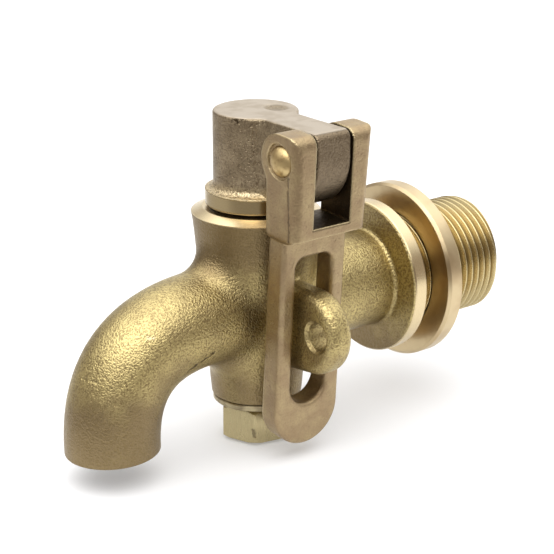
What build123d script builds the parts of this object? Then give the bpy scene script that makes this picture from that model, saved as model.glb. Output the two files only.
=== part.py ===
import os
from math import sqrt
from build123d import *

os.makedirs("parts", exist_ok=True)

# The waterway runs along X, inlet tail at +X and spout at -X.
# The plug turns about Z, the lever hangs on the -Y side. Pieces are shaped about the point where the two
# axes cross; each is then moved so the origin is the centre of the flange's seating face.

# Distance within which an edge counts as lying at a place
near = 0.1

# Barrel of the body: a slight cone, flared at the top, with a turned bevel round the mouth
barrel_bottom_z = -19.4
barrel_bottom_r = 9.67
barrel_bottom_round = 0.5
barrel_waist_z = 13.5
barrel_waist_r = 12.75
rim_z = 21.2
rim_r = 13.64
mouth_z = 22.3
mouth_r = 11.3

# Tapered seat for the plug, one in eight on the diameter, and the port openings into it
seat_mid_r = 7.2
seat_slope = 0.0625
port_width = 8.0
port_height = 13.0

# Spout: a bent tube that follows a smooth curve down to the outlet
spout_from = (-2.0, -0.56)
spout_lift = (-25.0, 2.84)
spout_drop = (-38.1, -3.0)
spout_to = (-37.3, -23.08)
spout_root_r = 10.15
spout_end_r = 9.9
spout_bore_r = 7.4
spout_blend = 6.0
spout_bore_start = 0.115
outlet_bore_r = 7.7
outlet_bore_depth = 7.0

# Neck, flange and threaded tail, all turned about X
neck_r = 10.8
neck_blend = 4.0
flange_front_x = 30.3
flange_back_x = 34.1
flange_r = 17.1
flange_edge = 0.5
flange_fillet = 1.0
tail_end_x = 59.7
tail_r = 13.22
tail_chamfer = 0.35
tail_bore_r = 8.5
tail_bore_end_x = 11.5

# Staple: a round-edged eye cast on the barrel, with a bevelled hole for a padlock shackle
staple_y = -20.1
staple_z = -0.1
staple_r = 8.85
staple_half = 3.0
staple_round = 2.2
staple_blend = 1.2
staple_root_y = -8.0
staple_root_top = 9.0
staple_root_low = -10.5
shackle_y = -23.5
shackle_z = 0.15
shackle_r = 2.9
shackle_bevel = 0.65

# Plug: key, collar, head, arm and stud
key_gap = 0.05
key_bottom_z = -18.9
collar_bottom_z = 22.87
collar_top_z = 26.2
collar_r = 10.65
collar_edge = 0.3
head_r = 8.91
head_top_z = 42.86
head_edge = 0.6
neck_foot = (10.2, 26.35)
neck_mid = (9.2, 26.95)
neck_top = (8.8, 28.3)
stud_r = 4.0
stud_end_z = -29.6
stud_chamfer = 0.6
dimple_x = 4.1
dimple_y = -1.8
dimple_ball_r = 13.0
dimple_depth = 0.4

# Hinge between the plug's tongue and the lever's fork
pin_y = -20.2
pin_z = 37.4
pin_r = 2.25
tongue_half = 4.35
tongue_front_y = -25.35
tongue_low_z = 26.0
tongue_sweep = 11.0
tongue_root_y = -12.0
tongue_corner = 1.8
arm_blend = 3.0
tongue_hole_r = pin_r + 0.05
cheek_hole_r = pin_r + 0.02
dome_r = 3.2
dome_height = 1.7
dome_seat_x = 9.3
dome_seat_r = 3.7
dome_gap = 0.01

# Lever: fork above, slotted handle below; it leans in a little at the bottom
lever_lean = 3.5
fork_half_top = 10.0
fork_half_low = 9.2
fork_gap_half = 4.75
fork_front = -5.3
fork_back = 3.9
fork_boss_r = 5.65
fork_top_round = 2.5
fork_gap_floor = -13.5
fork_step = -15.6
fork_step_low = -17.4
fork_corner = 1.9
fork_shoulder = 2.0
fork_waist = 4.0
handle_half = 8.2
handle_front = -0.7
handle_back = 4.25
handle_end = -63.8
handle_edge = 1.0
slot_half = 4.6
slot_top = -21.4
slot_bottom = -54.4
slot_corner = 2.2

# Washer and hexagon nut under the barrel
washer_r = 9.4
washer_top_z = -19.6
washer_thick = 1.35
washer_hole_r = 4.2
washer_edge = 0.25
nut_flats = 14.0
nut_top_z = -21.0
nut_height = 8.0
nut_hole_r = 4.03
nut_turn = -11.0
nut_corner_r = 8.2
nut_top_chamfer_r = 6.4
nut_top_chamfer_h = 1.5
nut_low_chamfer_r = 7.4
nut_low_chamfer_h = 0.45

# Round back nut on the tail
ring_front_x = 38.1
ring_r = 19.75
ring_front_chamfer = 0.6
ring_land = 3.0
ring_cone = 2.7
ring_small_r = 15.4
ring_hole_r = tail_r + 0.05
ring_hole_chamfer = 0.8


def seat_radius(z):
    """Radius of the tapered seat at a height."""
    return seat_mid_r + seat_slope * z


def hand_over(piece, name):
    """Shift a finished piece so the origin lies on the flange's seating face, then write it out."""
    seated = piece.moved(Location((-flange_back_x, 0, 0)))
    seated.label = name
    export_step(seated, f"parts/{name}.step")


# Staple, shaped apart so its rim can be rounded before it joins the barrel
with BuildPart() as staple:
    with BuildSketch(Plane.YZ):
        with Locations((staple_y, staple_z)):
            Circle(staple_r)
        with Locations((staple_root_y, (staple_root_top + staple_root_low) / 2)):
            Rectangle(near, staple_root_top - staple_root_low)
        make_hull()
    extrude(amount=staple_half, both=True)
    staple_rims = staple.faces().filter_by(Axis.X).edges().filter_by_position(
        Axis.Y, staple_y - staple_r, staple_root_y - near
    )
    fillet(staple_rims, staple_round)

# Body: barrel, neck with flange and tail, spout and staple are one casting.
with BuildPart() as body:
    # Barrel, turned about the plug's axis
    with BuildSketch(Plane.XZ):
        with BuildLine():
            Polyline((0, barrel_bottom_z), (barrel_bottom_r, barrel_bottom_z), (barrel_waist_r, barrel_waist_z))
            Spline(
                (barrel_waist_r, barrel_waist_z),
                (rim_r, rim_z),
                tangents=((barrel_waist_r - barrel_bottom_r, barrel_waist_z - barrel_bottom_z), (1, 5)),
            )
            Polyline((rim_r, rim_z), (mouth_r, mouth_z), (0, mouth_z), (0, barrel_bottom_z))
        make_face()
    revolve(axis=Axis.Z)

    # Neck, turned about the waterway
    with BuildSketch(Plane.XZ):
        with BuildLine():
            Polyline((0, 0), (0, neck_r), (flange_front_x, neck_r), (flange_front_x, 0), (0, 0))
        make_face()
    revolve(axis=Axis.X)

    # Spout, widening slightly toward the outlet
    with BuildLine() as spout_line:
        Bezier(
            (spout_from[0], 0, spout_from[1]),
            (spout_lift[0], 0, spout_lift[1]),
            (spout_drop[0], 0, spout_drop[1]),
            (spout_to[0], 0, spout_to[1]),
        )
    with BuildSketch(Plane(origin=spout_line.line @ 0, z_dir=spout_line.line % 0)):
        Circle(spout_root_r)
    with BuildSketch(Plane(origin=spout_line.line @ 1, z_dir=spout_line.line % 1)):
        Circle(spout_end_r)
    sweep(path=spout_line.line, multisection=True)

    # Cast blends where spout and neck grow out of the barrel
    joins = body.edges().filter_by(GeomType.BSPLINE).filter_by_position(Axis.Z, -neck_r, neck_r)
    spout_join = joins.filter_by_position(Axis.X, -barrel_waist_r, -seat_mid_r / 2)
    neck_join = joins.filter_by_position(Axis.X, seat_mid_r / 2, barrel_waist_r)
    fillet(spout_join, spout_blend)
    fillet(neck_join, neck_blend)

    # Flange and tail, turned about the waterway
    with BuildSketch(Plane.XZ):
        with BuildLine():
            Polyline(
                (flange_front_x, 0),
                (flange_front_x, flange_r - flange_edge),
                (flange_front_x + flange_edge, flange_r),
                (flange_back_x - flange_edge, flange_r),
                (flange_back_x, flange_r - flange_edge),
                (flange_back_x, tail_r),
                (tail_end_x - tail_chamfer, tail_r),
                (tail_end_x, tail_r - tail_chamfer),
                (tail_end_x, 0),
                (flange_front_x, 0),
            )
        make_face()
    revolve(axis=Axis.X)
    flange_root = body.edges().filter_by(GeomType.CIRCLE).filter_by_position(
        Axis.X, flange_front_x - near, flange_front_x + near
    )
    fillet(flange_root.sort_by(SortBy.RADIUS)[0], flange_fillet)

    # Small rounding under the barrel
    barrel_foot = body.edges().filter_by(GeomType.CIRCLE).sort_by(Axis.Z)[0]
    fillet(barrel_foot, barrel_bottom_round)

    # Staple on the side of the barrel
    add(staple.part)
    staple_foot = body.edges(Select.NEW).filter_by_position(Axis.Y, -barrel_waist_r, -seat_mid_r)
    fillet(staple_foot, staple_blend)

    # Padlock hole through the staple, bevelled both sides
    with BuildSketch(Plane(origin=(0, shackle_y, shackle_z), x_dir=(1, 0, 0), z_dir=(0, 0, 1))):
        with BuildLine():
            Polyline(
                (-staple_half, 0),
                (-staple_half, shackle_r + shackle_bevel),
                (shackle_bevel - staple_half, shackle_r),
                (staple_half - shackle_bevel, shackle_r),
                (staple_half, shackle_r + shackle_bevel),
                (staple_half, 0),
                (-staple_half, 0),
            )
        make_face()
    revolve(axis=Axis((0, shackle_y, shackle_z), (1, 0, 0)), mode=Mode.SUBTRACT)

    # Tapered seat
    with BuildSketch(Plane.XZ):
        with BuildLine():
            Polyline(
                (0, barrel_bottom_z),
                (seat_radius(barrel_bottom_z), barrel_bottom_z),
                (seat_radius(mouth_z), mouth_z),
                (0, mouth_z),
                (0, barrel_bottom_z),
            )
        make_face()
    revolve(axis=Axis.Z, mode=Mode.SUBTRACT)

    # Bore of the tail and the port from it into the seat
    with BuildSketch(Plane.YZ.offset(tail_end_x)):
        Circle(tail_bore_r)
    extrude(amount=tail_bore_end_x - tail_end_x, mode=Mode.SUBTRACT)
    with BuildSketch(Plane.YZ):
        SlotOverall(port_height, port_width, rotation=90)
    extrude(amount=tail_bore_end_x + 1, mode=Mode.SUBTRACT)

    # Bore of the spout and the port from it into the seat
    bore_line = spout_line.edge().trim(spout_bore_start, 1)
    with BuildSketch(Plane(origin=bore_line @ 0, z_dir=bore_line % 0)):
        Circle(spout_bore_r)
    sweep(path=bore_line, mode=Mode.SUBTRACT)
    with BuildSketch(Plane.YZ):
        SlotOverall(port_height, port_width, rotation=90)
    extrude(amount=(bore_line @ 0).X - 1, mode=Mode.SUBTRACT)
    with BuildSketch(Plane(origin=bore_line @ 1, z_dir=bore_line % 1)):
        Circle(outlet_bore_r)
    extrude(amount=-outlet_bore_depth, mode=Mode.SUBTRACT)
hand_over(body.part, "body")

# Tongue of the plug's arm, deep and swept up below, shaped apart so its rims can be rounded before it joins the arm
with BuildPart() as tongue:
    with BuildSketch(Plane.YZ) as tongue_side:
        with BuildLine():
            Polyline(
                (tongue_root_y, tongue_low_z),
                (tongue_front_y, tongue_low_z),
                (tongue_front_y, head_top_z),
                (tongue_root_y, head_top_z),
                (tongue_root_y, tongue_low_z),
            )
        make_face()
        fillet(tongue_side.vertices().group_by(Axis.X)[0].sort_by(Axis.Y)[0], tongue_sweep)
        fillet(tongue_side.vertices().group_by(Axis.X)[0].sort_by(Axis.Y)[-1], tongue_corner)
    extrude(amount=tongue_half, both=True)
    tongue_rims = tongue.faces().filter_by(Axis.X).edges().filter_by_position(
        Axis.Y, tongue_front_y, tongue_root_y - near
    )
    fillet(tongue_rims, head_edge)

# Plug: tapered key in the seat, collar, round head with an arm, stud below. One casting, turned where it fits.
with BuildPart() as plug:
    # Stud, key and collar, turned about the plug's axis
    with BuildSketch(Plane.XZ):
        with BuildLine():
            Polyline(
                (0, neck_top[1]),
                (0, stud_end_z),
                (stud_r - stud_chamfer, stud_end_z),
                (stud_r, stud_end_z + stud_chamfer),
                (stud_r, key_bottom_z),
                (seat_radius(key_bottom_z) - key_gap, key_bottom_z),
                (seat_radius(collar_bottom_z) - key_gap, collar_bottom_z),
                (collar_r - collar_edge, collar_bottom_z),
                (collar_r, collar_bottom_z + collar_edge),
                (collar_r, collar_top_z),
                neck_foot,
            )
            ThreePointArc(neck_foot, neck_mid, neck_top)
            Line(neck_top, (0, neck_top[1]))
        make_face()
    revolve(axis=Axis.Z)

    # Round head and the arm that grows out of it
    with BuildSketch(Plane.XY.offset(tongue_low_z)) as head:
        Circle(head_r)
        with Locations((0, tongue_root_y / 2)):
            Rectangle(2 * tongue_half, -tongue_root_y)
        arm_root = head.vertices().filter_by_position(Axis.Y, -head_r, -head_r / 2)
        fillet(arm_root, arm_blend)
    extrude(amount=head_top_z - tongue_low_z)

    # Soft cast edge round the top of head and arm, which runs on over the tongue
    top_rim = plug.faces().sort_by(Axis.Z)[-1].outer_wire().edges().filter_by_position(
        Axis.Y, tongue_root_y + near, head_r
    )
    fillet(top_rim, head_edge)
    add(tongue.part)

    # Hole for the hinge pin
    with BuildSketch(Plane.YZ):
        with Locations((pin_y, pin_z)):
            Circle(tongue_hole_r)
    extrude(amount=tongue_half, both=True, mode=Mode.SUBTRACT)

    # Port through the key, across the waterway while the tap is shut
    with BuildSketch(Plane.XZ):
        SlotOverall(port_height, port_width, rotation=90)
    extrude(amount=seat_radius(mouth_z), both=True, mode=Mode.SUBTRACT)

    # Shallow round sink in the top of the head
    with Locations((dimple_x, dimple_y, head_top_z + dimple_ball_r - dimple_depth)):
        Sphere(dimple_ball_r, mode=Mode.SUBTRACT)
hand_over(plug.part, "plug")

# Planes of the lever before it leans: its back seen from the front, and its middle seen from the side
lever_back = Plane(origin=(0, pin_y + fork_back, pin_z), x_dir=(1, 0, 0), z_dir=(0, -1, 0))
lever_side = Plane(origin=(0, pin_y, pin_z), x_dir=(0, 1, 0), z_dir=(1, 0, 0))
boss_back = lever_back.offset(fork_back - fork_boss_r)

# Handle of the lever: a flat strap with a long slot and a round end, a little thicker toward the end
with BuildPart() as handle:
    with BuildSketch(lever_back.offset(fork_back - handle_back)):
        with BuildLine():
            strap = Polyline(
                (-handle_half, handle_end + handle_half),
                (-handle_half, fork_step),
                (handle_half, fork_step),
                (handle_half, handle_end + handle_half),
            )
            ThreePointArc(strap @ 1, (0, handle_end), strap @ 0)
        make_face()
        with BuildLine():
            slot = Polyline(
                (-slot_half, slot_bottom + slot_half),
                (-slot_half, slot_top),
                (slot_half, slot_top),
                (slot_half, slot_bottom + slot_half),
            )
            ThreePointArc(slot @ 1, (0, slot_bottom), slot @ 0)
        make_face(mode=Mode.SUBTRACT)
    extrude(amount=handle_back - handle_front)
    with BuildSketch(lever_side):
        Polygon((fork_back, fork_step), (handle_back, handle_end), (handle_back, fork_step), align=None)
    extrude(amount=handle_half, both=True, mode=Mode.SUBTRACT)
    slot_corners = handle.edges().filter_by(Axis.Y).filter_by_position(
        Axis.Z, pin_z + slot_top - near, pin_z + slot_top + near
    )
    fillet(slot_corners, slot_corner)
    front_rims = handle.faces().sort_by(Axis.Y)[0].edges().filter_by_position(
        Axis.Z, pin_z + handle_end, pin_z + fork_step - near
    )
    fillet(front_rims, handle_edge)

# Lever: the fork with its round boss is cast in one with the handle.
with BuildPart() as lever:
    # Front shape of the fork, wider at the top, with soft front corners
    with BuildSketch(boss_back) as fork_face:
        with BuildLine():
            Polyline(
                (-fork_half_low, fork_step_low),
                (-fork_half_top, fork_boss_r),
                (fork_half_top, fork_boss_r),
                (fork_half_low, fork_step_low),
                (-fork_half_low, fork_step_low),
            )
        make_face()
        fillet(fork_face.vertices().group_by(Axis.Y)[0], fork_shoulder)
    extrude(amount=fork_boss_r - fork_front)
    soft_corners = lever.faces().sort_by(Axis.Y)[0].edges().filter_by_position(
        Axis.Z, pin_z + fork_step_low, pin_z + fork_boss_r - near
    )
    fillet(soft_corners, fork_corner)

    # Side shape of the fork: boss behind, flat front, a step at the bottom
    with BuildSketch(lever_side) as fork_side:
        with BuildLine():
            Polyline(
                (0, fork_boss_r),
                (fork_front, fork_boss_r),
                (fork_front, fork_step),
                (handle_front, fork_step_low),
                (fork_back, fork_step_low),
                (fork_back, 0),
                (0, 0),
                (0, fork_boss_r),
            )
        make_face()
        fillet(fork_side.vertices().group_by(Axis.X)[0].sort_by(Axis.Y)[-1], fork_top_round)
        Circle(fork_boss_r)
    extrude(amount=fork_half_top, both=True, mode=Mode.INTERSECT)
    boss_waist = lever.edges().filter_by(Axis.X).filter_by_position(
        Axis.Y, pin_y + fork_back - near, pin_y + fork_back + near
    )
    fillet(boss_waist.sort_by(Axis.Z)[-1], fork_waist)
    add(handle.part)

    # Gap of the fork, open at the top
    with BuildSketch(boss_back):
        with Locations((0, (fork_gap_floor + fork_boss_r) / 2)):
            Rectangle(2 * fork_gap_half, fork_boss_r - fork_gap_floor)
    extrude(amount=fork_boss_r - fork_front, mode=Mode.SUBTRACT)

    # Pin holes, with a shallow seat for each rivet head
    with BuildSketch(lever_side):
        Circle(cheek_hole_r)
    extrude(amount=fork_half_top, both=True, mode=Mode.SUBTRACT)
    with BuildSketch(lever_side.offset(fork_half_top), lever_side.offset(-dome_seat_x)):
        Circle(dome_seat_r)
    extrude(amount=dome_seat_x - fork_half_top, mode=Mode.SUBTRACT)
leaning_lever = lever.part.rotate(Axis((0, pin_y, pin_z), (1, 0, 0)), lever_lean)
hand_over(leaning_lever, "lever")

# Rivet pin: a plain shank with a domed head closed on each cheek
dome_foot = dome_seat_x + dome_gap
dome_ball_r = (dome_r**2 + dome_height**2) / (2 * dome_height)
dome_mid_x = dome_foot + dome_height - dome_ball_r + sqrt(dome_ball_r**2 - dome_r**2 / 4)
with BuildPart() as rivet_pin:
    with BuildSketch(Plane(origin=(0, pin_y, pin_z), x_dir=(1, 0, 0), z_dir=(0, -1, 0))):
        with BuildLine():
            Line((0, 0), (dome_foot + dome_height, 0))
            ThreePointArc((dome_foot + dome_height, 0), (dome_mid_x, dome_r / 2), (dome_foot, dome_r))
            Polyline((dome_foot, dome_r), (dome_foot, pin_r), (0, pin_r), (0, 0))
        make_face()
    revolve(axis=Axis((0, pin_y, pin_z), (1, 0, 0)))
    mirror(about=Plane.YZ)
hand_over(rivet_pin.part, "rivet_pin")

# Flat washer under the barrel
with BuildPart() as bottom_washer:
    with BuildSketch(Plane.XY.offset(washer_top_z - washer_thick)):
        Circle(washer_r)
        Circle(washer_hole_r, mode=Mode.SUBTRACT)
    extrude(amount=washer_thick)
    chamfer(bottom_washer.edges().filter_by(GeomType.CIRCLE).group_by(SortBy.RADIUS)[-1], washer_edge)
hand_over(bottom_washer.part, "bottom_washer")

# Hexagon nut on the stud, corners turned off at both ends
with BuildPart() as bottom_nut:
    with BuildSketch(Plane.XY.offset(nut_top_z - nut_height)):
        RegularPolygon(nut_flats / 2, 6, major_radius=False, rotation=nut_turn)
        Circle(nut_hole_r, mode=Mode.SUBTRACT)
    extrude(amount=nut_height)
    with BuildSketch(Plane.XZ):
        Polygon(
            (nut_top_chamfer_r, nut_top_z),
            (nut_corner_r, nut_top_z),
            (nut_corner_r, nut_top_z - nut_top_chamfer_h),
            align=None,
        )
        Polygon(
            (nut_low_chamfer_r, nut_top_z - nut_height),
            (nut_corner_r, nut_top_z - nut_height + nut_low_chamfer_h),
            (nut_corner_r, nut_top_z - nut_height),
            align=None,
        )
    revolve(axis=Axis.Z, mode=Mode.SUBTRACT)
hand_over(bottom_nut.part, "bottom_nut")

# Round back nut: flat polished front, narrow land, conical back
with BuildPart() as back_nut:
    with BuildSketch(Plane.XZ):
        with BuildLine():
            ring_back_x = ring_front_x + ring_front_chamfer + ring_land + ring_cone
            Polyline(
                (ring_front_x, ring_hole_r + ring_hole_chamfer),
                (ring_front_x, ring_r - ring_front_chamfer),
                (ring_front_x + ring_front_chamfer, ring_r),
                (ring_front_x + ring_front_chamfer + ring_land, ring_r),
                (ring_back_x, ring_small_r),
                (ring_back_x, ring_hole_r + ring_hole_chamfer),
                (ring_back_x - ring_hole_chamfer, ring_hole_r),
                (ring_front_x + ring_hole_chamfer, ring_hole_r),
                (ring_front_x, ring_hole_r + ring_hole_chamfer),
            )
        make_face()
    revolve(axis=Axis.X)
hand_over(back_nut.part, "back_nut")
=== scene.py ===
import bpy
import numpy as np
from mathutils import Matrix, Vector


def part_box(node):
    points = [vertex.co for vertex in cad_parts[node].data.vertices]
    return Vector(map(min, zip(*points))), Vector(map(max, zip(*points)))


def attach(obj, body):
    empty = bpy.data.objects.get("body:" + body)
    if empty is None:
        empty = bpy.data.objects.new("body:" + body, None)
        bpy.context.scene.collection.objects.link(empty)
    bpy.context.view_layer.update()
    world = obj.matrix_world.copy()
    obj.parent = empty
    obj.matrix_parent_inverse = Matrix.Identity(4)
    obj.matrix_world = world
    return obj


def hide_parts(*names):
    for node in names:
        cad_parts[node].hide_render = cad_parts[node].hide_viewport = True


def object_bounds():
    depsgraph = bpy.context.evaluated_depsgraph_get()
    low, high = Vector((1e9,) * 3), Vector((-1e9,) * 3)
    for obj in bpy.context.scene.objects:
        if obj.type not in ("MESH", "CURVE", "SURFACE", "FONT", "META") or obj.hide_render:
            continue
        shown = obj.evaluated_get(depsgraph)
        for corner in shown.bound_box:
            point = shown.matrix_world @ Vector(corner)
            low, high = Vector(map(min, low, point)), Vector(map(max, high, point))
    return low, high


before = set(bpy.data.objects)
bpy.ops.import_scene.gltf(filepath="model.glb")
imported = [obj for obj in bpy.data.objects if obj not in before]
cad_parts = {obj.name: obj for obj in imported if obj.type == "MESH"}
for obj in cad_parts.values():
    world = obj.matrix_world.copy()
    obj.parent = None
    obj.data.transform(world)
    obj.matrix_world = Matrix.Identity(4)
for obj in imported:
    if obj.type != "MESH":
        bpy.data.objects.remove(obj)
cad_low, cad_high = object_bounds()


# The body is one sand casting of yellow brass: barrel, bent spout, neck, flange, tail and the
# eye for the padlock. The mouth of the barrel, the flange's rim and seat and the tail are turned,
# and the rest keeps the mould's grain. Its tail is slimmed here, to carry the cut thread.
MM = 0.001
nut_low, nut_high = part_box("bottom_nut")
PLUG_X = (nut_low.x + nut_high.x) / (2 * MM)
RIM_Z = 21.2
MOUTH_R = 9.9
FLANGE_R = 17.1
FLANGE_FRONT_X = -3.8
TAIL_R = 13.22
TAIL_END_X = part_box("body")[1].x / MM
TAIL_CORE_R = 11.9
CORE_SETBACK = 0.02
SLACK = 0.01

SAND_SIZE = 0.40
SAND_DEPTH = 0.19
SWELL_SIZE = 2.6
SWELL_DEPTH = 0.10
TOOL_MARK_SIZE = 0.25
TOOL_MARK_DEPTH = 0.006
BODY_EDGE = 0.25
STAIN_SIZE = 9.0
STREAK_SIZE = 0.8
# Heights and radii within which the body is painted darker as painted shade: towards the bottom, and on
# the barrel's top.
SHADED_LOW_Z = (-24.0, 2.0)
SHADED_BARREL_TOP_Z = (7.0, 18.0)
SHADED_BARREL_R = (14.0, 16.0)
# Heights from which the barrel's top is painted darker as painted shade, with streaks.
STREAKED_SHADED_Z = (7.0, 12.0)
SPOUT_CREASE = ((-58.2, -8.6, -6.9), (-52.4, -9.2, -3.9))
SPOUT_SCRATCH = ((-78.1, -0.2, -5.7), (-77.2, -4.2, -5.8))
# A nick of bare metal on the spout, painted bright as a glint, with no dent in the surface.
SPOUT_GLINT_NICK = ((-67.0, -7.3, 2.35), (-66.0, -8.0, 2.1))
BARREL_PITS = ((-45.2, -8.2, 7.6), (-42.2, -9.9, 1.6))
CREASE_DEPTH = 0.30
SCRATCH_DEPTH = 0.14
BARREL_PIT_DEPTH = 0.05
MARK_WANDER = 1.2
WANDER_SIZE = 1.1

CAST_GOLD = (0.55, 0.445, 0.20, 1)
CAST_BROWN = (0.255, 0.19, 0.10, 1)
# Dark for sand pits, and for the painted shade on the barrel's top.
CAST_PIT_AND_SHADE = (0.22, 0.16, 0.075, 1)
# Turned brass, also painted as a glint on the spout's nick and as a highlight on the plug's slope.
TURNED_GOLD_AND_HIGHLIGHT = (0.68, 0.55, 0.33, 1)
# Dark for dirt, dents, scratches and pits, and for painted shade in corners, gaps and hollows.
DIRT_AND_SHADE_DARK = (0.060, 0.040, 0.022, 1)
CAST_ROUGHNESS = 0.38
TURNED_ROUGHNESS = 0.24


def merged_skin(node):
    """A solid's triangles, with points within a thousandth of a millimetre of each other made
    one, less the triangles that shrink to a line, and the normal at each of their corners."""
    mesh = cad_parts[node].data
    points = np.empty(len(mesh.vertices) * 3)
    mesh.vertices.foreach_get("co", points)
    points = points.reshape(-1, 3)
    corners = np.empty(len(mesh.loops), np.int32)
    mesh.loops.foreach_get("vertex_index", corners)
    normals = np.empty(len(mesh.loops) * 3)
    mesh.corner_normals.foreach_get("vector", normals)
    rounded = np.round(points / (MM / 1000))
    _, first, shared = np.unique(rounded, axis=0, return_index=True, return_inverse=True)
    triangles = shared.ravel()[corners].reshape(-1, 3)
    whole = np.all(triangles != np.roll(triangles, 1, axis=1), axis=1)
    return points[first], triangles[whole], normals.reshape(-1, 3, 3)[whole]


def new_piece(name, points, faces, body, finish):
    """A smooth-shaded piece from points and faces of equal corner counts, riding on a body."""
    mesh = bpy.data.meshes.new(name)
    mesh.vertices.add(len(points))
    mesh.vertices.foreach_set("co", np.ascontiguousarray(points, np.float32).ravel())
    mesh.loops.add(faces.size)
    mesh.loops.foreach_set("vertex_index", np.ascontiguousarray(faces, np.int32).ravel())
    mesh.polygons.add(len(faces))
    mesh.polygons.foreach_set("loop_start", np.arange(0, faces.size, faces.shape[1], dtype=np.int32))
    mesh.update(calc_edges=True)
    mesh.shade_smooth()
    mesh.materials.append(finish)
    piece = bpy.data.objects.new(name, mesh)
    bpy.context.scene.collection.objects.link(piece)
    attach(piece, body)
    return piece


class Sock:
    """An output in a node tree. Sums, products and powers of outputs add Math nodes, and node()
    adds any other node: its settings first, then its inputs, in order or by name. take names the
    output that is wanted, where it isn't the first."""

    def __init__(self, tree, out):
        self.tree = tree
        self.out = out

    def node(self, kind, settings, *values, take=None, **named):
        made = self.tree.nodes.new("ShaderNode" + kind)
        for key, value in settings.items():
            setattr(made, key, value)
        live = [socket for socket in made.inputs if socket.enabled]
        pairs = list(zip(live, values))
        pairs += [(made.inputs[key.replace("_", " ")], value) for key, value in named.items()]
        for socket, value in pairs:
            if isinstance(value, Sock):
                self.tree.links.new(value.out, socket)
            else:
                socket.default_value = value
        out = made.outputs[take] if take else next(s for s in made.outputs if s.enabled)
        return Sock(self.tree, out)

    def math(self, operation, *values):
        return self.node("Math", {"operation": operation}, *values)

    def __add__(self, other):
        return self.math("ADD", self, other)

    def __sub__(self, other):
        return self.math("SUBTRACT", self, other)

    def __rsub__(self, other):
        return self.math("SUBTRACT", other, self)

    def __neg__(self):
        return 0 - self

    def __mul__(self, other):
        return self.math("MULTIPLY", self, other)

    def __pow__(self, other):
        return self.math("POWER", self, other)

    def __abs__(self):
        return self.math("ABSOLUTE", self)

    __radd__ = __add__
    __rmul__ = __mul__


def new_finish(name):
    """A metal finish: its material, its shader, and the piece's own coordinates in millimetres."""
    material = bpy.data.materials.new(name)
    material.use_nodes = True
    tree = material.node_tree
    shader = tree.nodes["Principled BSDF"]
    shader.inputs["Metallic"].default_value = 1
    start = Sock(tree, tree.nodes.new("ShaderNodeTexCoord").outputs["Object"])
    at = start.node("VectorMath", {"operation": "SCALE"}, Vector=start, Scale=1 / MM)
    return material, shader, at


def parts_of(at):
    """The three coordinates of a place or a direction."""
    split = at.node("SeparateXYZ", {}, at)
    made = split.out.node
    return [Sock(at.tree, made.outputs[axis]) for axis in "XYZ"]


def distance(a, b):
    """How far a point is from an axis, from its two offsets."""
    return (a * a + b * b) ** 0.5


def dot(vector, other):
    """The dot product of two vectors: how far the first reaches along the second."""
    return vector.node("VectorMath", {"operation": "DOT_PRODUCT"}, vector, other, take="Value")


def rise(value, low, high):
    """0 below low, 1 above high, and a smooth step between them."""
    settings = {"interpolation_type": "SMOOTHSTEP"}
    return value.node("MapRange", settings, Value=value, From_Min=low, From_Max=high)


def greater(share, other):
    """The greater of two shares."""
    return share.math("MAXIMUM", share, other)


def blend(share, colour, other):
    """One colour where share is 0 and the other where it is 1."""
    return share.node("Mix", {"data_type": "RGBA"}, share, colour, other)


def noise(at, size, detail=2.0):
    """Cloudy variation between 0 and 1 about one half, with lumps of about that size."""
    return at.node("TexNoise", {}, take="Fac", Vector=at, Scale=1 / size, Detail=detail)


def specks(at, size):
    """Sparse pits of about that size: 1 inside one, 0 on the metal between them."""
    return rise(noise(at, size, 1.0), 0.58, 0.68)


def crevice(at, reach):
    """How deep a point lies in a corner of its own piece: 0 in the open, towards 1 in a crevice."""
    settings = {"samples": 8, "only_local": True}
    return 1 - at.node("AmbientOcclusion", settings, take="AO", Distance=reach * MM)


def mark(at, ends, core, edge):
    """A straight mark between two places: 1 within core of its line and 0 beyond edge, where the
    distance from the line wanders with a noise, so that the mark's outline is uneven."""
    start, end = np.array(ends)
    run = end - start
    out = at.node("VectorMath", {"operation": "SUBTRACT"}, at, tuple(start))
    share = dot(out, tuple(run / (run @ run)))
    share = share.node("Clamp", {}, share)
    along = share.node("VectorMath", {"operation": "SCALE"}, Vector=tuple(run), Scale=share)
    gap = along.node("VectorMath", {"operation": "DISTANCE"}, out, along, take="Value")
    return 1 - rise(gap + MARK_WANDER * (noise(at, WANDER_SIZE) - 0.5), core, edge)


def softened(at, radius):
    """The normal of a piece with its edges rounded to a radius, and how much it turns there."""
    soft = at.node("Bevel", {"samples": 6}, Radius=radius * MM)
    true = at.node("NewGeometry", {}, take="Normal")
    return soft, 1 - dot(soft, true)


def wire(shader, colour, roughness, height, normal):
    """Joins a finish to its shader. Height is in millimetres, on top of the normal."""
    tree = height.tree
    tree.links.new(colour.out, shader.inputs["Base Color"])
    tree.links.new(roughness.out, shader.inputs["Roughness"])
    bump = height.node("Bump", {}, Strength=1.0, Distance=MM, Height=height, Normal=normal)
    tree.links.new(bump.out, shader.inputs["Normal"])


cast_brass, shader, at = new_finish("cast_brass")
x, y, z = parts_of(at)
from_tail = distance(y, z)
from_plug = distance(x - PLUG_X, y)
near_flange = rise(x, FLANGE_FRONT_X - 0.6, FLANGE_FRONT_X - 0.4)
on_rim = rise(z, RIM_Z - 0.05, RIM_Z + 0.10)
on_edge = near_flange * rise(from_tail, FLANGE_R - 0.30, FLANGE_R - 0.12)
on_seat = rise(x, -0.20, -0.05)
turned = greater(on_rim, greater(on_edge, on_seat))
cast = 1 - turned
grit = noise(at, SAND_SIZE, 2.5)
swell = noise(at, SWELL_SIZE, 1.5)
cloud = noise(at, STAIN_SIZE, 3.0)
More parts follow.
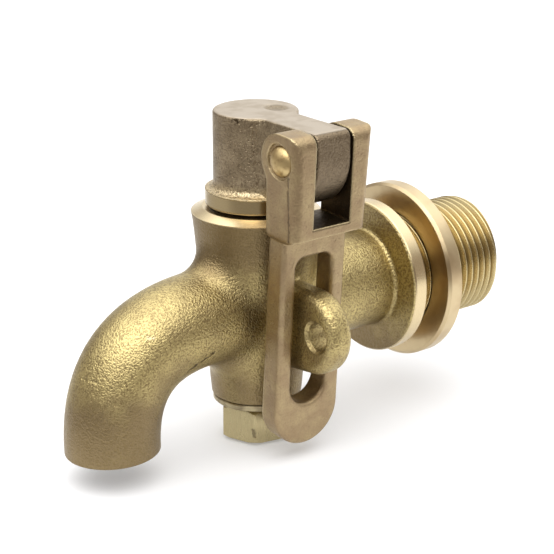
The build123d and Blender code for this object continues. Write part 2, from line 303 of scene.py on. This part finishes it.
# Painted shade: the body is painted darker towards the bottom and on the barrel's top, mixed into its
# random stains.
shaded_low_and_barrel_top = 1 - rise(z, *SHADED_LOW_Z) + rise(z, *SHADED_BARREL_TOP_Z) * (1 - rise(from_plug, *SHADED_BARREL_R))
stain_and_shade = rise(cloud + 0.35 * grit + 0.55 * shaded_low_and_barrel_top, 0.58, 1.15)
colour = blend(stain_and_shade, CAST_GOLD, CAST_BROWN)
drawn_out = at.node("CombineXYZ", {}, x * 0.25, y * 0.25, z * 2.0)
streaks = rise(noise(drawn_out, STREAK_SIZE, 3.0), 0.45, 0.62)
# The barrel's top is painted darker: painted shade, with horizontal streaks in it.
colour = blend(rise(z, *STREAKED_SHADED_Z) * (0.30 + 0.40 * streaks), colour, CAST_PIT_AND_SHADE)
sandy = 0.70 * (1 - rise(grit, 0.38, 0.56)) + 0.20 * specks(at, 0.75)
colour = blend(sandy, colour, CAST_PIT_AND_SHADE)
colour = blend(turned, colour, TURNED_GOLD_AND_HIGHLIGHT)
# A nick of bare metal, painted bright in turned gold as a glint.
glint_nick = mark(at, SPOUT_GLINT_NICK, 0.10, 0.50)
colour = blend(0.7 * glint_nick, colour, TURNED_GOLD_AND_HIGHLIGHT)
crease = mark(at, SPOUT_CREASE, 0.15, 0.60) * rise(noise(at, 1.5, 1.0), 0.40, 0.52)
scratch = mark(at, SPOUT_SCRATCH, 0.10, 0.50)
pitted = mark(at, BARREL_PITS, 0.8, 2.6) * rise(noise(at, 0.7, 1.0), 0.56, 0.68)
# Painted shade: the body is painted dark in its own corners and in the mouth's bore under the plug's
# collar, with grease there, and dark along the crease, the scratch and the pits.
gap_grease_and_shade = rise(z, RIM_Z - 4, RIM_Z - 3) * (1 - rise(from_plug, MOUTH_R, MOUTH_R + 0.4))
dirt_and_shade = rise(crevice(at, 2.4), 0.42, 0.85) + gap_grease_and_shade + crease + 0.35 * pitted + 0.3 * scratch
colour = blend(0.75 * dirt_and_shade, colour, DIRT_AND_SHADE_DARK)
roughness = CAST_ROUGHNESS * cast + TURNED_ROUGHNESS * turned
roughness += 0.16 * (0.5 - grit) * cast + 0.04 * shaded_low_and_barrel_top * cast
height = cast * (SAND_DEPTH * grit + SWELL_DEPTH * swell)
height += TOOL_MARK_DEPTH * noise(at, TOOL_MARK_SIZE, 1.0)
height -= CREASE_DEPTH * crease + BARREL_PIT_DEPTH * pitted + SCRATCH_DEPTH * scratch
wire(shader, colour, roughness, height, softened(at, BODY_EDGE)[0])

points, faces, normals = merged_skin("body")
tail_r = np.hypot(points[:, 1], points[:, 2])
behind_seat = points[:, 0] > -SLACK * MM
outside = behind_seat & (tail_r > TAIL_CORE_R * MM) & (tail_r < (TAIL_R + SLACK) * MM)
points[outside, 1:] *= (TAIL_CORE_R * MM / tail_r[outside])[:, None]
points[points[:, 0] > (TAIL_END_X - SLACK) * MM, 0] -= CORE_SETBACK * MM
casting = new_piece("body_casting", points, faces, "body", cast_brass)
casting.data.normals_split_custom_set(normals.reshape(-1, 3))
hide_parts("body")


# The tail's thread is a parallel pipe thread, cut on the lathe along the whole tail and run out
# just behind the flange. Its narrow crests are bright over roots painted brown as painted shade in
# the grooves, and the tail's end is chamfered at 45 degrees.
PITCH = 1.814
THREAD_DEPTH = 1.16
CREST_FLAT = 0.14
ROOT_FLAT = 0.08
RUNOUT_FROM_X = 0.8
RUNOUT_TO_X = 2.4
END_CHAMFER = 0.35
SLEEVE_R = 11.8
# Depths into the groove over which the roots are painted darker as painted shade.
ROOT_SHADE_FROM_DEPTH = 0.35
ROOT_SHADE_FULL_DEPTH = 1.1
CHATTER_SIZE = 0.5
CHATTER_DEPTH = 0.010
THREAD_EDGE = 0.05
THREAD_GOLD = (0.55, 0.445, 0.23, 1)
THREAD_ROOT_SHADE = (0.26, 0.185, 0.09, 1)


def smooth(value, low, high):
    """The same smooth step as rise, on arrays."""
    share = np.clip((value - low) / (high - low), 0, 1)
    return share * share * (3 - 2 * share)


def thread_sleeve(around=168, per_pitch=24):
    """A closed sleeve, as points and wrapped quads on a grid of angle by place along the axis.
    Its radius is the crest radius less a groove: the groove's depth follows the distance along
    the axis from the helix x = pitch * turns, flat at crest and root and straight between."""
    along = np.linspace(0, TAIL_END_X, int(TAIL_END_X / PITCH * per_pitch))
    angle = np.linspace(0, 2 * np.pi, around, endpoint=False)
    x, turn = np.meshgrid(along, angle, indexing="ij")
    place = (x / PITCH - turn / (2 * np.pi)) % 1.0
    off_crest = 2 * np.minimum(place, 1 - place)
    groove = np.clip((off_crest - CREST_FLAT) / (1 - CREST_FLAT - ROOT_FLAT), 0, 1)
    radius = TAIL_R - THREAD_DEPTH * groove * smooth(x, RUNOUT_FROM_X, RUNOUT_TO_X)
    radius = np.minimum(radius, TAIL_R - np.clip(x - (TAIL_END_X - END_CHAMFER), 0, None))
    x = np.vstack([x[:1], x, x[-1:]])
    radius = np.pad(radius, ((1, 1), (0, 0)), constant_values=SLEEVE_R)
    turn = np.vstack([turn[:1], turn, turn[-1:]])
    points = np.stack([x, radius * np.cos(turn), radius * np.sin(turn)], axis=-1).reshape(-1, 3)
    rows = len(x)
    index = np.arange(rows * around).reshape(rows, around)
    beside = np.roll(index, -1, axis=1)
    faces = np.stack([index, beside, np.roll(beside, -1, axis=0), np.roll(index, -1, axis=0)], axis=-1)
    return points * MM, faces.reshape(-1, 4)[:, ::-1]


thread_brass, shader, at = new_finish("thread_brass")
_, y, z = parts_of(at)
# The roots are painted darker brown: painted shade in the thread's grooves.
root_shade = 1 - rise(distance(y, z), TAIL_R - ROOT_SHADE_FULL_DEPTH, TAIL_R - ROOT_SHADE_FROM_DEPTH)
colour = blend(0.95 * root_shade, THREAD_GOLD, THREAD_ROOT_SHADE)
chatter = noise(at, CHATTER_SIZE)
roughness = 0.20 + 0.12 * chatter + 0.10 * root_shade
wire(shader, colour, roughness, CHATTER_DEPTH * chatter, softened(at, THREAD_EDGE)[0])
points, faces = thread_sleeve()
new_piece("tail_thread", points, faces, "body", thread_brass)


# The back nut is a round nut turned from bar, with a flat front face, a bevelled edge and a
# coned back. It runs on the tail's thread and clamps the wall against the flange.
LATHE_SIZE = 0.6
LATHE_DEPTH = 0.006
TARNISH_SIZE = 7.0
BACK_NUT_EDGE = 0.20
NUT_BRASS = (0.60, 0.48, 0.29, 1)
NUT_BROWN = (0.50, 0.375, 0.22, 1)


def dress(node, finish):
    """Gives one of the frame's solids its finish, in place of what it was loaded with."""
    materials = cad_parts[node].data.materials
    materials.clear()
    materials.append(finish)


turned_brass, shader, at = new_finish("turned_brass")
x, y, z = parts_of(at)
rings = at.node("CombineXYZ", {}, distance(y, z) * 3.0, x * 3.0, 0.0)
lathe = noise(rings, LATHE_SIZE, 3.0)
tarnish = noise(at, TARNISH_SIZE, 3.0)
colour = blend(rise(tarnish, 0.45, 0.75), NUT_BRASS, NUT_BROWN)
roughness = TURNED_ROUGHNESS + 0.14 * lathe
wire(shader, colour, roughness, LATHE_DEPTH * lathe, softened(at, BACK_NUT_EDGE)[0])
dress("back_nut", turned_brass)


# The plug is the casting that opens the tap: a tapered key inside the barrel, a turned collar,
# a round head with an arm and a tongue, and the stud below. Head and tongue are as cast and dark,
# with bright edges that are partly wear and partly painted highlight, and the top is faced flat and
# pale, partly as a painted sheen. The tongue's front, the gap below the collar and the corners are
# darkened with painted shade, and the collar's slope is painted bright as a highlight.
HEAD_TOP_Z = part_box("plug")[1].z / MM
COLLAR_LOW_Z = 22.8
COLLAR_HIGH_Z = 26.0
COLLAR_R = 10.65
SLOPE_LOW_Z = 26.9
SLOPE_TOP_Z = 29.0
# Where the tongue's front starts to be, and is fully, painted darker as painted shade.
TONGUE_SHADE_FROM_Y = 18.0
TONGUE_SHADE_FULL_Y = 21.0
HEAD_NICKS = ((-42.3, -3.4, 42.1), (-41.3, -5.2, 42.1))
HEAD_SAND_DEPTH = 0.18
HEAD_SWELL_SIZE = 2.2
HEAD_SWELL_DEPTH = 0.08
HEAD_PIT_SIZE = 0.65
HEAD_PIT_DEPTH = 0.06
HEAD_NICK_DEPTH = 0.15
FACING_DEPTH = 0.012
HEAD_EDGE = 0.5
COLLAR_GOLD = (0.40, 0.315, 0.175, 1)
HEAD_GOLD = (0.43, 0.345, 0.225, 1)
HEAD_BROWN = (0.28, 0.22, 0.14, 1)
# Dark for pits and sand grain, and for the painted shade on the tongue's front.
HEAD_PIT_AND_SHADE = (0.15, 0.11, 0.07, 1)
# Bright for worn edges, also a painted highlight along them.
HEAD_WORN_HIGHLIGHT = (0.60, 0.49, 0.28, 1)
# Pale for the faced top, partly a painted sheen of the light overhead.
FACED_SHEEN_PALE = (0.49, 0.42, 0.33, 1)
FACED_DULL = (0.41, 0.34, 0.25, 1)

cast_brass_dark, shader, at = new_finish("cast_brass_dark")
x, y, z = parts_of(at)
from_plug = distance(x - PLUG_X, y)
faced = rise(z, HEAD_TOP_Z - 0.25, HEAD_TOP_Z - 0.05)
above_collar = rise(z, COLLAR_HIGH_Z - 0.1, COLLAR_HIGH_Z + 0.1)
in_collar = rise(z, COLLAR_LOW_Z - 0.1, COLLAR_LOW_Z) * (1 - above_collar)
turned = in_collar * rise(from_plug, COLLAR_R - 0.25, COLLAR_R - 0.10)
cast = (1 - faced) * (1 - turned)
grit = noise(at, SAND_SIZE, 2.5)
cloud = noise(at, 3.0, 4.0)
colour = blend(rise(cloud + 0.5 * grit, 0.50, 0.95), HEAD_GOLD, HEAD_BROWN)
# The collar's cast slope is painted bright in turned gold: a painted highlight of the light overhead.
slope_highlight = above_collar * (1 - rise(z, SLOPE_LOW_Z, SLOPE_TOP_Z))
colour = blend(0.8 * slope_highlight, colour, TURNED_GOLD_AND_HIGHLIGHT)
# The tongue's front is painted darker: painted shade.
colour = blend(0.65 * rise(-y, TONGUE_SHADE_FROM_Y, TONGUE_SHADE_FULL_Y), colour, HEAD_PIT_AND_SHADE)
pits = specks(at, HEAD_PIT_SIZE)
colour = blend(0.55 * (1 - rise(grit, 0.38, 0.56)) + 0.25 * pits, colour, HEAD_PIT_AND_SHADE)
soft, turn = softened(at, HEAD_EDGE)
# The edges are painted bright: partly wear, partly a painted highlight along their rounding.
worn_and_highlit_edge = cast * rise(turn + 0.10 * (grit - 0.5), 0.02, 0.14)
colour = blend(0.7 * worn_and_highlit_edge, colour, HEAD_WORN_HIGHLIGHT)
# The faced top is painted pale: its faced metal, partly a painted sheen of the light overhead, under a
# cloud of patina.
patina = rise(noise(at, 3.5, 4.0), 0.42, 0.66)
colour = blend(faced, colour, blend(patina, FACED_SHEEN_PALE, FACED_DULL))
colour = blend(turned, colour, COLLAR_GOLD)
nicks = mark(at, HEAD_NICKS, 0.25, 0.65) * rise(noise(at, 0.8, 1.0), 0.47, 0.56)
# Painted shade: the plug is painted dark below its collar, in the gap, with grease there, and in its own
# corners, and dark in the nicks on its top.
gap_grease_and_shade = 1 - rise(z, COLLAR_LOW_Z - 0.3, COLLAR_LOW_Z)
dirt_and_shade = 0.6 * rise(crevice(at, 2.0), 0.45, 0.9) + 0.9 * nicks + 0.8 * gap_grease_and_shade
colour = blend(dirt_and_shade, colour, DIRT_AND_SHADE_DARK)
roughness = 0.40 * cast + 0.42 * faced + TURNED_ROUGHNESS * turned + 0.14 * (0.5 - grit) * cast
swell = noise(at, HEAD_SWELL_SIZE, 1.5)
height = cast * (HEAD_SAND_DEPTH * grit + HEAD_SWELL_DEPTH * swell - HEAD_PIT_DEPTH * pits)
height += FACING_DEPTH * faced * grit - HEAD_NICK_DEPTH * nicks
wire(shader, colour, roughness, height, soft)
dress("plug", cast_brass_dark)


# The washer between the barrel and the hexagon nut is stamped from brass sheet and clamped flat
# by the nut. Smears of old grease leave it duller than the nut.
SMEAR_SIZE = 3.0
WASHER_GRAIN_SIZE = 0.6
WASHER_GRAIN_DEPTH = 0.012
WASHER_EDGE = 0.15
WASHER_GOLD = (0.46, 0.39, 0.24, 1)
WASHER_DULL = (0.26, 0.21, 0.13, 1)

washer_brass, shader, at = new_finish("washer_brass")
smear = noise(at, SMEAR_SIZE, 4.0)
colour = blend(rise(smear, 0.40, 0.70), WASHER_GOLD, WASHER_DULL)
roughness = 0.30 + 0.25 * smear
height = WASHER_GRAIN_DEPTH * noise(at, WASHER_GRAIN_SIZE)
wire(shader, colour, roughness, height, softened(at, WASHER_EDGE)[0])
dress("bottom_washer", washer_brass)


# The hexagon nut that holds the plug down is cut from drawn bar and screwed on the plug's stud.
# It is pale yellow and smooth, with fine draw marks along its flats, and its top under the washer is
# painted dark as painted shade.
NUT_TOP_Z = nut_high.z / MM
NUT_DENT = ((-39.5, -5.8, -25.9), (-39.3, -6.0, -27.2))
NUT_DENT_DEPTH = 0.10
DRAW_SIZE = 1.0
DRAW_DEPTH = 0.004
HEX_EDGE = 0.25
NUT_PALE = (0.52, 0.44, 0.25, 1)
NUT_SHADE = (0.48, 0.40, 0.225, 1)

nut_brass, shader, at = new_finish("nut_brass")
x, y, z = parts_of(at)
along_bar = at.node("CombineXYZ", {}, x * 4.0, y * 4.0, z * 0.4)
draw = noise(along_bar, DRAW_SIZE, 3.0)
colour = blend(rise(draw, 0.40, 0.75), NUT_PALE, NUT_SHADE)
dent = mark(at, NUT_DENT, 0.15, 0.60)
# The nut's top, under the washer, is painted dark: painted shade.
shade_under_washer = rise(z + 0.8 * (draw - 0.5), NUT_TOP_Z - 1.3, NUT_TOP_Z - 0.3)
colour = blend(0.6 * dent + 0.8 * shade_under_washer, colour, DIRT_AND_SHADE_DARK)
roughness = 0.20 + 0.18 * draw
height = DRAW_DEPTH * draw - NUT_DENT_DEPTH * dent
wire(shader, colour, roughness, height, softened(at, HEX_EDGE)[0])
dress("bottom_nut", nut_brass)


# The lever is a brass casting with a forked top, hinged on the rivet, and a slotted handle that
# folds down over the padlock eye. Tumbling has left it satin, a little rosier than the body, with
# bright edges that are partly wear and partly painted highlight, and painted shade in the fork's
# gap and in its corners.
GAP_HALF = 4.75
GAP_FLOOR_Z = 23.9
PARTING_LINE = ((-43.8, -22.9, 35.0), (-43.4, -22.5, 21.5))
PARTING_DEPTH = 0.15
LEVER_SAND_SIZE = 0.45
LEVER_SAND_DEPTH = 0.09
LEVER_SWELL_SIZE = 3.0
LEVER_SWELL_DEPTH = 0.12
LEVER_PIT_SIZE = 0.60
LEVER_PIT_DEPTH = 0.03
LEVER_EDGE = 0.7
LEVER_GOLD = (0.43, 0.33, 0.185, 1)
LEVER_ROSE = (0.35, 0.255, 0.148, 1)
LEVER_PIT = (0.22, 0.15, 0.09, 1)
# Bright for worn edges, also a painted highlight along them.
LEVER_WORN_HIGHLIGHT = (0.74, 0.61, 0.35, 1)

cast_brass_lever, shader, at = new_finish("cast_brass_lever")
x, _, z = parts_of(at)
grit = noise(at, LEVER_SAND_SIZE)
cloud = noise(at, 3.5, 3.5)
colour = blend(rise(cloud + 0.2 * grit, 0.42, 0.80), LEVER_GOLD, LEVER_ROSE)
pits = specks(at, LEVER_PIT_SIZE)
colour = blend(0.30 * (1 - rise(grit, 0.36, 0.60)) + 0.12 * pits, colour, LEVER_PIT)
soft, turn = softened(at, LEVER_EDGE)
hollow = crevice(at, 1.6)
# The edges are painted bright: partly wear, partly a painted highlight along their rounding, but not in
# hollows.
worn_and_highlit_edge = rise(turn + 0.08 * (grit - 0.5), 0.02, 0.14) * (1 - rise(hollow, 0.25, 0.50))
colour = blend(0.75 * worn_and_highlit_edge, colour, LEVER_WORN_HIGHLIGHT)
between_arms = 1 - rise(abs(x - PLUG_X), GAP_HALF + 0.05, GAP_HALF + 0.30)
in_gap = between_arms * rise(z, GAP_FLOOR_Z - 0.9, GAP_FLOOR_Z - 0.5)
# Painted shade: the fork's gap and the deeper hollows are painted dark.
painted_gap_shade = in_gap * (1 - worn_and_highlit_edge) + 0.5 * rise(crevice(at, 8.0), 0.50, 0.85)
parting = mark(at, PARTING_LINE, 0.05, 0.35)
# Darker in the lever's own corners as painted shade, in the fork's gap, and along the parting line.
dirt_and_shade = 0.6 * rise(hollow, 0.45, 0.9) + 0.85 * painted_gap_shade + 0.5 * parting
colour = blend(dirt_and_shade, colour, DIRT_AND_SHADE_DARK)
roughness = 0.36 + 0.16 * grit - 0.08 * worn_and_highlit_edge
height = LEVER_SAND_DEPTH * grit + LEVER_SWELL_DEPTH * noise(at, LEVER_SWELL_SIZE, 1.5)
height -= LEVER_PIT_DEPTH * pits + PARTING_DEPTH * parting
wire(shader, colour, roughness, height, soft)
dress("lever", cast_brass_lever)


# The rivet is a brass pin through the fork and the tongue, and the lever folds on it. Its ends
# are hammered over into bright domes with shallow dents.
HAMMER_SIZE = 1.2
HAMMER_DEPTH = 0.10
RIVET_EDGE = 0.10
RIVET_GOLD = (0.58, 0.44, 0.215, 1)
RIVET_BROWN = (0.40, 0.28, 0.13, 1)

rivet_brass, shader, at = new_finish("rivet_brass")
dents = noise(at, HAMMER_SIZE)
colour = blend(rise(dents, 0.45, 0.75), RIVET_GOLD, RIVET_BROWN)
roughness = 0.32 + 0.16 * dents
wire(shader, colour, roughness, HAMMER_DEPTH * dents, softened(at, RIVET_EDGE)[0])
dress("rivet_pin", rivet_brass)


# The studio is a table under a white sheet, which gives way to grey towards the camera and to its
# left. The room is dim and warm on the camera's side and pale behind the tap and overhead, and a
# wide square lamp hangs above the camera.
FLOOR_HALF = 3.0
FLOOR_GAP = 0.05
SHEET_WHITE = (0.62, 0.62, 0.625, 1)
SHEET_GLOW = 0.27
SHEET_ROUGHNESS = 0.9
SHEET_FRONT = 74.0
SHEET_LEFT = 88.0
SHEET_SPLAY = 0.16
SHEET_FADE = 60.0
LEFT_BARE = 0.60
TABLE_GREY = (0.22, 0.205, 0.19, 1)
CAMERA_AT = (-0.24928, -0.27990, 0.12813)
CAMERA_AZIMUTH = -38.26893
CAMERA_ELEVATION = 19.05655
CAMERA_ROLL = 0.0247
LENS = 114.31
SENSOR = 36.0
CLIP_START = 0.01
ROOM_LIGHT = 0.13
UPPER_LEFT_LIGHT = 0.40
BACK_WALL_LIGHT = 1.10
RIGHT_WALL_LIGHT = 0.25
CEILING_LIGHT = 2.0
ROOM_BROWN = (1.0, 0.80, 0.66, 1)
WHITE = (1, 1, 1, 1)
BLACK = (0, 0, 0, 1)
LAMP_AT = (-0.32, -0.29, 0.51)
LAMP_AIM = (-0.03, 0.0, 0.0)
LAMP_WIDTH = 0.65
LAMP_POWER = 2.5


def placed(right, up, back, place):
    """The matrix that turns a camera or a lamp to its three directions and moves it to a place."""
    turned = Matrix(np.stack([right, up, back], axis=1).tolist()).to_4x4()
    turned.translation = place
    return turned


azimuth, elevation, roll = np.radians([CAMERA_AZIMUTH, CAMERA_ELEVATION, CAMERA_ROLL])
outward = np.array([np.sin(azimuth), -np.cos(azimuth), 0])
level = np.array([np.cos(azimuth), np.sin(azimuth), 0])
back = np.cos(elevation) * outward + np.sin(elevation) * np.array([0, 0, 1])
right = np.cos(roll) * level + np.sin(roll) * np.cross(back, level)
up = np.cross(back, right)

floor_z = cad_low.z - FLOOR_GAP * MM
floor_mesh = bpy.data.meshes.new("table")
corners = [(-1, -1), (1, -1), (1, 1), (-1, 1)]
floor_mesh.from_pydata([(FLOOR_HALF * i, FLOOR_HALF * j, floor_z) for i, j in corners], [], [(0, 1, 2, 3)])
table = bpy.data.objects.new("table", floor_mesh)
bpy.context.scene.collection.objects.link(table)
sheet, shader, at = new_finish("sheet")
shader.inputs["Metallic"].default_value = 0
shader.inputs["Roughness"].default_value = SHEET_ROUGHNESS
shader.inputs["Emission Strength"].default_value = SHEET_GLOW
forward = dot(at, (back[0], back[1], 0))
leftward = dot(at, tuple(-level)) + SHEET_SPLAY * forward
bare_front = rise(forward, SHEET_FRONT, SHEET_FRONT + SHEET_FADE)
bare_left = LEFT_BARE * rise(leftward, SHEET_LEFT, SHEET_LEFT + SHEET_FADE)
bare = greater(bare_front, bare_left)
colour = blend(bare, SHEET_WHITE, TABLE_GREY)
glow = blend(bare, WHITE, BLACK)
sheet.node_tree.links.new(colour.out, shader.inputs["Base Color"])
sheet.node_tree.links.new(glow.out, shader.inputs["Emission Color"])
floor_mesh.materials.append(sheet)

lens = bpy.data.cameras.new("photo_lens")
lens.lens = LENS
lens.sensor_width = SENSOR
lens.clip_start = CLIP_START
camera = bpy.data.objects.new("photo_lens", lens)
camera.matrix_world = placed(right, up, back, CAMERA_AT)
bpy.context.scene.collection.objects.link(camera)
bpy.context.scene.camera = camera

room = bpy.data.worlds.new("room")
room.use_nodes = True
bpy.context.scene.world = room
walls = room.node_tree.nodes["Background"]
sky = Sock(room.node_tree, room.node_tree.nodes.new("ShaderNodeTexCoord").outputs["Generated"])
away = dot(sky, tuple(-back))
side = dot(sky, tuple(right))
overhead = parts_of(sky)[2]
light = ROOM_LIGHT + UPPER_LEFT_LIGHT * rise(overhead - side, 0.7, 1.4)
light += BACK_WALL_LIGHT * rise(away + 0.45 * side, 0.15, 0.95)
light += RIGHT_WALL_LIGHT * rise(side, 0.2, 0.9)
light += CEILING_LIGHT * rise(overhead, 0.36, 0.92)
tint = blend(rise(light, 0.1, 0.9), ROOM_BROWN, WHITE)
room.node_tree.links.new(tint.out, walls.inputs["Color"])
room.node_tree.links.new(light.out, walls.inputs["Strength"])

lamp = bpy.data.lights.new("window", "AREA")
lamp.size = LAMP_WIDTH
lamp.energy = LAMP_POWER
window = bpy.data.objects.new("window", lamp)
facing = np.subtract(LAMP_AT, LAMP_AIM)
facing = facing / np.linalg.norm(facing)
across = np.cross((0, 1, 0), facing)
across = across / np.linalg.norm(across)
window.matrix_world = placed(across, np.cross(facing, across), facing, LAMP_AT)
bpy.context.scene.collection.objects.link(window)

bpy.context.scene.view_settings.view_transform = "Standard"
